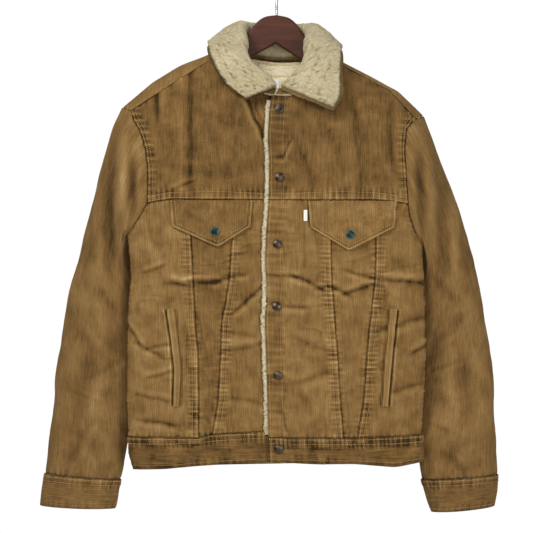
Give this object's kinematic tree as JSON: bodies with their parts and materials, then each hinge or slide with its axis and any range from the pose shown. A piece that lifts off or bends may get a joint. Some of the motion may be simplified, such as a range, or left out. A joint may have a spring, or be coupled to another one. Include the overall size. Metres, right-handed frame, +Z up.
{
  "type": "sherpa lined jacket on a wooden hanger",
  "caption": "Waist-length corduroy jacket with a pile collar and lining, button front, flap and welt pockets, hung closed on a wooden hanger.",
  "frame": {"origin": "inside top of the hanger's hook, where it rests on a rail", "axes": "+Z up, -Y out of the jacket's front, +X to the right as seen from the front"},
  "size_m": [0.7505, 0.1592, 0.8938],
  "materials": {
    "corduroy": "ribbed cotton corduroy, brushed, matt",
    "sleeve_corduroy": "ribbed cotton corduroy, brushed, matt",
    "pile": "curly cream pile, matt",
    "aged_metal": "dark worn button metal",
    "label": "smooth woven tape, blank",
    "dark_wood": "dark stained wood, satin varnish",
    "steel_wire": "polished steel wire"
  },
  "bodies": {
    "root": {"front_chest_left": "corduroy", "front_side_left": "corduroy", "front_slant_left": "corduroy", "front_centre_left": "corduroy", "front_chest_right": "corduroy", "front_side_right": "corduroy", "front_slant_right": "corduroy", "front_centre_right": "corduroy", "hem_band_front_left": "corduroy", "hem_band_front_right": "corduroy", "hem_band_back": "corduroy", "back_yoke": "corduroy", "back_centre": "corduroy", "back_side_left": "corduroy", "back_side_right": "corduroy", "pocket_flap_left": "corduroy", "pocket_flap_right": "corduroy", "pocket_welt_left": "corduroy", "pocket_welt_right": "corduroy", "collar_under": "corduroy", "sleeve_top_left": "sleeve_corduroy", "sleeve_under_left": "sleeve_corduroy", "cuff_left": "sleeve_corduroy", "sleeve_top_right": "sleeve_corduroy", "sleeve_under_right": "sleeve_corduroy", "cuff_right": "sleeve_corduroy", "collar_top": "pile", "back_neck_lining": "pile", "front_edge_pile": "pile", "front_button_1": "aged_metal", "front_button_2": "aged_metal", "front_button_3": "aged_metal", "front_button_4": "aged_metal", "front_button_5": "aged_metal", "front_button_6": "aged_metal", "flap_button_left": "aged_metal", "flap_button_right": "aged_metal", "neck_label": "label", "pocket_tab": "label", "hanger_bar": "dark_wood", "hanger_hook": "steel_wire"}
  },
  "joints": []
}
